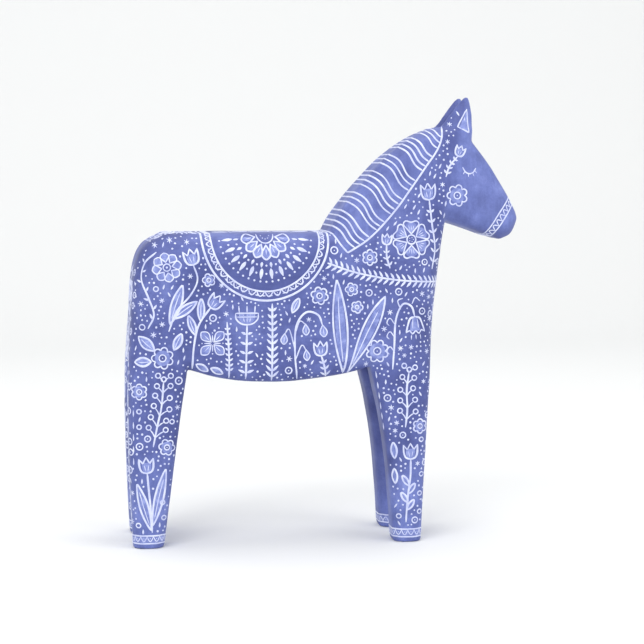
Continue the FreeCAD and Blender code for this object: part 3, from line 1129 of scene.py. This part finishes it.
def flank_area(x, z):
    """The area of the flank that a place belongs to, or None where the blue stays plain."""
    if in_saddle(x, z) or z < HOOF_TOP:
        return None
    if z < LEG_TOP:
        return "leg_front" if x > 20 else "leg_hind" if x < -88 else "trunk"
    in_mane_corner = 0.0 < x <= 11.8 and z > 209.5 - 1.4 * x
    in_mane = 9.0 < x < 80.5 and z > mane_edge_at(x) - 1.6
    on_head = z > 206 and x > 81.0 + 0.3 * max(0.0, z - 255)
    if in_mane_corner or in_mane or on_head:
        return None
    return "neck" if x > -6 and z > np.interp(x, *np.transpose(GARLAND)) else "trunk"


def on_leg_end(y, z):
    """Whether a place of the front or rear picture is on the narrow side of a leg."""
    return 12 < z < 118 and 17.0 < abs(y) < 36.5


def front_area(y, z):
    on_breast = 120 < z < 170 and abs(y) < 29
    on_throat = 180 < z < 198 and abs(y) < 25
    return "front" if on_leg_end(y, z) or on_breast or on_throat else None


def rear_area(y, z):
    on_rump = 120 < z < 184 and abs(y) < 30
    return "rear" if on_leg_end(y, z) or on_rump else None


def croup_area(x, y):
    return "croup" if -119 < x < -88.5 and abs(y) < 27 else None


def scatter(s, count, first, second):
    """Random places within a range of the picture's first axis and one of its second."""
    return np.array([(s.random.uniform(*first), s.random.uniform(*second)) for _ in range(count)])


def fill_ground(s, area_at, spots, least, depths=None, keep_clear=()):
    """Puts rings, little stars, dashes or dots at the spots that are far enough from other paint."""
    room = Clearance()
    for _, points, widths, _ in s.strokes:
        room.add(points, float(widths.mean()) / 2)
    for _, points, widths in s.washes:
        for point, width in zip(points, widths):
            room.add(point, width / 2)
    for _, at, radius in s.dots:
        room.add(at, radius)
    for rail, reach in keep_clear:
        room.add(spaced(smooth_line(*rail), 1.0), reach)
    draw = s.random
    for i, (x, z) in enumerate(spots):
        gap = room.at(x, z) if depths is None else min(room.at(x, z), depths[i])
        area = area_at(x, z)
        if area is None or gap < least:
            continue
        s.area = area
        # Large marks need more free ground, and chance keeps them from taking all of it.
        choice = draw.random()
        if gap > 4.0 and choice < 0.42:
            radius = draw.uniform(1.8, 2.4)
            s.ring((x, z), radius)
            s.dot((x, z), 0.5)
        elif gap > 3.2 and choice < 0.70:
            radius = draw.uniform(1.5, 2.1)
            s.star((x, z), radius, draw.uniform(0, 60))
        elif gap > 2.7 and choice < 0.82:
            radius = 1.7
            s.dash((x, z), radius, draw.choice((90, 60, 120, 75)))
        else:
            radius = draw.uniform(0.62, 0.92)
            s.dot((x, z), radius)
        room.add((x, z), radius + 0.25)


def flank_sketch():
    """The flank seen from the side."""
    s = Sketch("trunk", 11)
    for picture in (rump_flowers, belly_meadow, neck_flowers, sleeping_eye, ear_mark, front_leg_flowers,
                    hind_leg_flowers):
        picture(s)
    spots = scatter(s, 26000, (-134, 100), (11, 298))
    depths = depth_inside(side_outline(), spots[:, 0], spots[:, 1])
    fill_ground(s, flank_area, spots, 1.65, depths, ((GARLAND, 4.2), (MANE_EDGE, 1.0)))
    return s


def leg_sprigs(s):
    """A leafy stem up the narrow side of each leg."""
    for y in (-27.0, 27.0):
        s.sprig([(y, 15.0), (y + 0.8, 45.0), (y, 76.0)], leaf=6.4, gap=6.0, lean=46, width=2.2, start=0.06)
        s.tulip((y, 76.0), 10.0)
        s.blossom((y, 99.0), 6.0, 6, 15)


def front_sketch():
    """The breast, the throat and the front of the legs, seen from the front."""
    s = Sketch("front", 21)
    leg_sprigs(s)
    s.line([(0.0, 124.0), (0.0, 143.0)])
    s.tulip((0.0, 143.0), 14.0)
    for side in (-1, 1):
        s.leaf((side * 1.0, 126.0), (side * 12.5, 143.0), 6.4)
        s.blossom((side * 18.5, 157.0), 6.2, 6, 15)
        s.line([(0.0, 125.0), (side * 13.0, 128.0), (side * 22.0, 138.0)], 1.2)
        s.ring((side * 23.2, 139.8), 1.9)
        s.leaf((side * 9.6, 189.5), (side * 20.5, 193.5), 5.6)
        s.ring((side * 15.0, 184.0), 1.8)
    s.daisy((0.0, 189.5), 8.2)
    s.blossom((0.0, 259.0), 5.6, 6, 30)
    for z in (250.5, 246.0, 242.4):
        s.dot((0.0, z), 0.75)
    fill_ground(s, front_area, scatter(s, 6000, (-38, 38), (11, 214)), 2.3)
    return s


def rear_sketch():
    """The rump and the back of the legs, seen from behind."""
    s = Sketch("rear", 22)
    leg_sprigs(s)
    s.sprig([(0.0, 123.0), (0.0, 162.0)], leaf=7.0, gap=6.6, width=2.3)
    s.tulip((0.0, 162.0), 15.0)
    for side in (-1, 1):
        s.line([(0.0, 124.0), (side * 10.0, 131.0), (side * 18.0, 147.0), (side * 17.0, 160.0)], 1.3)
        s.daisy((side * 17.0, 168.0), 8.4)
        s.leaf((side * 10.5, 131.5), (side * 24.5, 137.0), 5.6)
        s.blossom((side * 19.0, 124.0), 5.2, 6, 15)
    fill_ground(s, rear_area, scatter(s, 6000, (-38, 38), (11, 186)), 4.2)
    return s


def croup_sketch():
    """The top of the rump, behind the saddle."""
    s = Sketch("croup", 23)
    s.daisy((-105.0, 0.0), 9.4)
    for side in (-1, 1):
        s.leaf((-105.0, side * 11.5), (-105.0, side * 24.0), 6.2)
        s.ring((-95.0, side * 12.0), 1.8)
        s.ring((-115.0, side * 12.0), 1.8)
    fill_ground(s, croup_area, scatter(s, 1500, (-122, -88), (-27, 27)), 2.3)
    return s


def saddle_sketch():
    """Half a daisy hanging from the back, with rays of dabs and dots round it."""
    s = Sketch("saddle", 5)
    heart = (SADDLE_CENTRE[0], SADDLE_CENTRE[1] - 1.0)
    for i in range(7):
        turn = 180 + 180 * (i + 0.5) / 7
        s.petal(heart, turn, 6.8, 16.4, 6.0, brush=1.2)
        Motif(s, heart, turn).line([(9.5, 0), (13.2, 0)], 0.8)
    half_turn = np.linspace(math.pi, 2 * math.pi, 16)
    Motif(s, heart, 0.0, 5.6).line([(math.cos(t), math.sin(t)) for t in half_turn], 1.05)
    for i in range(5):
        Motif(s, heart, 198 + 36 * i).dot(2.9, 0, 0.5)
    for radius, length, count, width in ((18.0, 3.6, 10, 2.3), (22.2, 7.0, 12, 3.0)):
        for i in range(count):
            Motif(s, heart, 180 + 180 * (i + 0.5) / count).dab((radius, 0), (radius + length, 0), width)
    for radius, count in ((20.2, 10), (25.6, 12), (30.8, 24)):
        for i in range(1, count):
            Motif(s, heart, 180 + 180 * i / count).dot(radius, 0, 0.85)
    return s


def saddle_top_sketch():
    """A row of daisies along the top of the back."""
    s = Sketch("saddle_top", 6)
    for x, radius in ((-70.0, 5.4), (-56.4, 5.4), (-42.7, 6.6), (-29.0, 5.4), (-15.4, 5.4)):
        s.daisy((x, 0.0), radius)
    for x in (-63.2, -49.4, -36.0, -22.2):
        for y in (-9.5, 0.0, 9.5):
            s.dot((x, y), 0.6)
        for y in (-5.0, 5.0):
            s.drop((x, y - 2.0), (x, y + 2.0), 1.3)
    return s


def lay_sketch(s, face, suffix, white, wash):
    """Puts a sketch on one face of the horse, a mesh of lines and a mesh of washes for each area."""
    lines, washes = {}, {}
    for area, points, widths, closed in s.strokes:
        lines.setdefault(area, Paint()).stroke(shine_on(points, face), widths, closed)
    for area, points, widths in s.washes:
        washes.setdefault(area, Paint()).wash(shine_on(points, face), widths)
    for area in sorted({area for area, _, _ in s.dots}):
        mine = [(at, radius) for name, at, radius in s.dots if name == area]
        places = shine_on([at for at, _ in mine], face)
        for place, (_, radius) in zip(places, mine):
            lines.setdefault(area, Paint()).dot(place, radius)
    for kind, gathered, material in (("ornament_", lines, white), ("wash_", washes, wash)):
        for area, paint in gathered.items():
            if paint.faces:
                paint.make(kind + area + suffix, material)


# ---- bands that go round the horse --------------------------------------
class Track:
    """A line on the surface, with places given by the distance along it and aside from it."""

    def __init__(self, points, closed=False):
        loop = settle(spaced(settle(points), 0.6, closed))
        sides = sides_of(loop, closed)
        if closed:
            loop = np.vstack([loop, loop[:1]])
            sides = np.vstack([sides, sides[:1]])
        self.closed = closed
        self.lengths = lengths_along(loop)
        self.length = float(self.lengths[-1])
        self.columns = np.hstack([loop, sides]).T      # x, y, z of the line, then of its sides

    def at(self, along, aside=0.0):
        """Places on the surface, at distances along the track and aside from it."""
        along = np.atleast_1d(np.asarray(along, float))
        if self.closed:
            along = along % self.length
        columns = [np.interp(along, self.lengths, column) for column in self.columns]
        return settle(np.stack([columns[i] + aside * columns[i + 3] for i in range(3)], axis=1))

    def spread(self, count):
        """Evenly spaced distances along the whole track."""
        return np.linspace(0, self.length, count, endpoint=not self.closed)


def even_widths(points, width, closed=False, end=0.5):
    """One width all along, drawn in at the ends of an open line to a share of it."""
    if closed:
        return np.full(len(points), width)
    fade = min(1.2 / len(points), 0.3)
    return width * np.interp(np.linspace(0, 1, len(points)), (0, fade, 1 - fade, 1), (end, 1, 1, end))


def lay_points(paint, track, along, aside, width):
    """A line through places of a track."""
    points = track.at(along, aside)
    paint.stroke(points, even_widths(points, width, track.closed), track.closed)


def lay_line(paint, track, aside, width):
    """A line along a track, at one distance aside."""
    lay_points(paint, track, track.spread(max(int(track.length / STEP), 4)), aside, width)


def lay_scallops(paint, track, aside, depth, pitch, width, knots=True):
    """A row of little arches along a track, standing on one side of it, with or without a dot in each."""
    count = max(int(round(track.length / pitch)), 1)
    along = track.spread(count * 6)
    arches = np.abs(np.sin(np.pi * along / track.length * count))
    lay_points(paint, track, along, aside + depth * arches, width)
    if knots:
        for i in range(count):
            paint.dot(track.at((i + 0.5) / count * track.length, aside + depth * 0.42)[0], 0.42)


def lay_dabs(paint, track, length, pitch, width):
    """A row of dabs along a track."""
    count = max(int(round(track.length / pitch)), 1)
    for i in range(count):
        s = (i + 0.5) / count * track.length
        paint.dab(track.at([s, s + length]), width, 0.25)


def on_flank(flat, face="right"):
    """The parts of a flat line that land on one flank."""
    places = shine_on(flat, face)
    return places[~np.isnan(places).any(axis=1)]


def straight_across(start, count=0):
    """Points from a place on one flank to its mirror image, without the two ends."""
    count = count or max(int(2 * abs(start[1]) / 0.8), 3)
    return np.linspace(start, start * (1, -1, 1), count)[1:-1]


def over_the_top(flat):
    """A line up the right flank, across and down the left, from one flat line that ends at the top."""
    right = on_flank(spaced(flat, 0.8))
    return np.vstack([right, straight_across(right[-1]), right[::-1] * (1, -1, 1)])


def all_round(flat):
    """A closed line round the horse, from one flat line that ends at the outline at both ends."""
    top = over_the_top(flat)
    return np.vstack([top, straight_across(top[-1])])


def saddle_loop(inset):
    """The saddle cloth's edge on both flanks and across the back, as one closed track."""
    a, b = SADDLE_HALF[0] - inset, SADDLE_HALF[1] - inset
    arc = [(SADDLE_CENTRE[0] + a * math.cos(t), SADDLE_CENTRE[1] + b * math.sin(t))
           for t in np.linspace(math.pi, 2 * math.pi, 60)]
    right = on_flank([p for p in arc if p[1] < SADDLE_CENTRE[1] - 0.4])
    left = right[::-1] * (1, -1, 1)
    front, rear = straight_across(right[-1], 60), straight_across(left[-1], 60)
    return Track(np.vstack([right, front, left, rear]), closed=True)


def paint_saddle(white, wash):
    """The saddle cloth: its border, the picture on each flank and the row of daisies on the back."""
    border = Paint()
    lay_line(border, saddle_loop(0.0), 0.0, 1.7)
    lay_dabs(border, saddle_loop(3.1), 2.6, 4.6, 1.3)
    inner = saddle_loop(6.0)
    lay_line(border, inner, 0.0, 1.4)
    lay_scallops(border, inner, 0.0, -3.4, 5.4, 1.1)
    sketch = saddle_sketch()
    lay_sketch(sketch, "right", "_right", white, wash)
    lay_sketch(sketch, "left", "_left", white, wash)
    lay_sketch(saddle_top_sketch(), "top", "", white, wash)
    border.make("saddle_border", white)


def lay_over_the_top(paint, flat, width, end=0.5):
    """A line from flank to flank over the crest."""
    points = settle(spaced(over_the_top(np.array(flat))))
    paint.stroke(points, even_widths(points, width, end=end))


def paint_mane(material):
    """Wavy strands over the crest, and the line that closes them on each flank."""
    paint = Paint()
    crest = spaced(smooth_line(*CREST, steps=10), 0.5)
    edge = spaced(smooth_line(*MANE_EDGE, steps=10), 0.5)
    draw = random.Random(3)
    slant = math.radians(-47)
    down = np.array((math.cos(slant), math.sin(slant)))
    aside = np.array((-down[1], down[0]))
    # Strands lie in groups: where a group starts, as a share of the crest, and how many it has.
    for start, count in ((0.05, 4), (0.225, 3), (0.365, 4), (0.545, 3), (0.69, 4), (0.865, 3)):
        for i in range(count):
            top = crest[int((start + 0.036 * i) * (len(crest) - 1))]
            to_edge = edge - top
            miss = np.abs(to_edge[:, 0] * down[1] - to_edge[:, 1] * down[0])
            reach = to_edge[int(np.argmin(miss))] * 0.97
            wave = draw.uniform(0.9, 1.5) * min(1.0, np.hypot(*reach) / 24)
            strand = [top + reach * t + aside * wave * math.sin(2 * math.pi * t)
                      for t in np.linspace(1, 0, 14)]
            lay_over_the_top(paint, strand, LINE * draw.uniform(0.9, 1.15), 0.4)
    for face in ("right", "left"):
        points = on_flank(spaced(smooth_line(*MANE_EDGE)), face)
        paint.stroke(points, even_widths(points, 1.5))
    lay_over_the_top(paint, [(11.8, 194.8), (7.5, 200.0), (3.2, 207.0)], 1.4)
    paint.make("mane", material)


def paint_garland(material):
    """The breast band of leaves, from saddle to saddle round the breast."""
    paint = Paint()
    track = Track(over_the_top(np.array(smooth_line(*GARLAND, steps=10))))
    lay_line(paint, track, 0.0, 1.5)
    pitch = 4.0
    for i in range(int(track.length / 2 / pitch)):
        from_end = 3.0 + pitch * i
        for along, lean in ((from_end, -3.0), (track.length - from_end, 3.0)):
            for aside in (-4.1, 4.1):
                ends = track.at([along, along + lean], np.array([aside * 0.12, aside]))
                paint.dab(ends, 1.9, 0.3)
    paint.make("breast_garland", material)


def paint_noseband(material):
    """A zigzag between two lines round the muzzle."""
    paint = Paint()
    track = Track(all_round(np.array(smooth_line(*NOSEBAND))), closed=True)
    for aside in (-2.7, 2.7):
        lay_line(paint, track, aside, 1.15)
    lay_scallops(paint, track, -2.4, 3.8, 4.4, 0.95, knots=False)
    paint.make("noseband", material)


def paint_hooves(white, wash):
    """A lace band round every hoof, between two lines on a pale wash."""
    for end, x_low, x_high in (("front", 43.2, 63.2), ("hind", -131.0, -110.2)):
        for side, sign in (("right", -1), ("left", 1)):
            corners = [(x, sign * y, 6.2) for x, y in ((x_low, 14), (x_high, 14), (x_high, 40), (x_low, 40))]
            track = Track(spaced(corners, 1.0, closed=True), closed=True)
            lace = Paint()
            for aside in (-2.6, 2.6):
                lay_line(lace, track, aside, 1.2)
            lay_scallops(lace, track, -2.2, 3.4, 4.2, 0.95)
            lace.make("hoof_lace_" + end + "_" + side, white)
            ground = Paint()
            around = track.at(np.linspace(0, track.length * 0.9999, 120))
            ground.wash(around, np.full(len(around), 4.8))
            ground.make("hoof_wash_" + end + "_" + side, wash)


def paint_horse():
    """All the white ornament."""
    white = white_paint()
    wash = thin_wash()
    flank = flank_sketch()
    for sketch, face, suffix in ((flank, "right", "_right"), (flank, "left", "_left"),
                                 (front_sketch(), "front", ""), (rear_sketch(), "rear", ""),
                                 (croup_sketch(), "top", "")):
        lay_sketch(sketch, face, suffix, white, wash)
    paint_saddle(white, wash)
    paint_mane(white)
    paint_garland(white)
    paint_noseband(white)
    paint_hooves(white, wash)


# ---- studio -------------------------------------------------------------
CAMERA_AZIMUTH = -8.0
CAMERA_ELEVATION = 4.5
CAMERA_DISTANCE = 1.30
VIEW_HEIGHT = 0.44       # what the picture takes in at the horse's middle
AIM = Vector((0.0, 0.0, 0.146))


def look(thing, direction):
    """Turns a camera or a lamp so that it looks along a direction."""
    thing.rotation_euler = direction.to_track_quat("-Z", "Y").to_euler()


def make_camera():
    data = bpy.data.cameras.new("camera")
    camera = new_object("camera", data)
    a = math.radians(CAMERA_AZIMUTH)
    e = math.radians(CAMERA_ELEVATION)
    back = Vector((math.sin(a) * math.cos(e), -math.cos(a) * math.cos(e), math.sin(e)))
    camera.location = AIM + back * CAMERA_DISTANCE
    look(camera, -back)
    data.sensor_width = 36.0
    data.lens = data.sensor_width * CAMERA_DISTANCE / VIEW_HEIGHT
    data.clip_start = 0.05
    data.clip_end = 50.0
    bpy.context.scene.camera = camera


def add_lamp(name, place, size, power):
    """A soft square lamp that lights the horse and isn't seen itself."""
    data = bpy.data.lights.new(name, "AREA")
    data.shape = "RECTANGLE"
    data.size = data.size_y = size
    data.energy = power
    lamp = new_object(name, data)
    lamp.location = place
    lamp.visible_camera = False
    look(lamp, AIM - Vector(place))


def make_backdrop():
    """A sheet of pale paper that lies under the horse and bends up behind it."""
    floor = min(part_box(node)[0].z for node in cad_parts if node.startswith("leg_"))
    near, far, height, bend, reach = -6.0, 2.2, 2.6, 0.8, 6.0
    line = [(near, 0.0)]
    line += [(far - bend + bend * math.sin(t), bend - bend * math.cos(t))
             for t in np.linspace(0, math.pi / 2, 16)]
    line.append((far, height))
    vertices = [(x, y, floor + z) for y, z in line for x in (-reach, reach)]
    faces = [(2 * i, 2 * i + 1, 2 * i + 3, 2 * i + 2) for i in range(len(line) - 1)]
    sheet = bpy.data.meshes.new("backdrop")
    sheet.from_pydata(vertices, [], faces)
    sheet.shade_smooth()
    paper = Nodes("studio_paper")
    paper.shader.inputs["Base Color"].default_value = srgb(233, 234, 234)
    paper.shader.inputs["Roughness"].default_value = 0.9
    sheet.materials.append(paper.material)
    new_object("backdrop", sheet)


def make_studio():
    """Plain paper and soft light."""
    make_backdrop()
    add_lamp("key", (-0.9, -1.5, 1.5), 1.2, 20)
    add_lamp("fill", (2.5, -2.0, 1.5), 2.2, 27)
    add_lamp("top", (0.0, 0.3, 1.9), 1.6, 12)
    world = bpy.data.worlds.new("studio_world")
    bpy.context.scene.world = world
    world.use_nodes = True
    sky = world.node_tree.nodes["Background"]
    sky.inputs["Color"].default_value = (1, 1, 1, 1)
    sky.inputs["Strength"].default_value = 0.82
    bpy.context.scene.view_settings.view_transform = "Standard"


make_camera()
build_horse()
paint_horse()
make_studio()
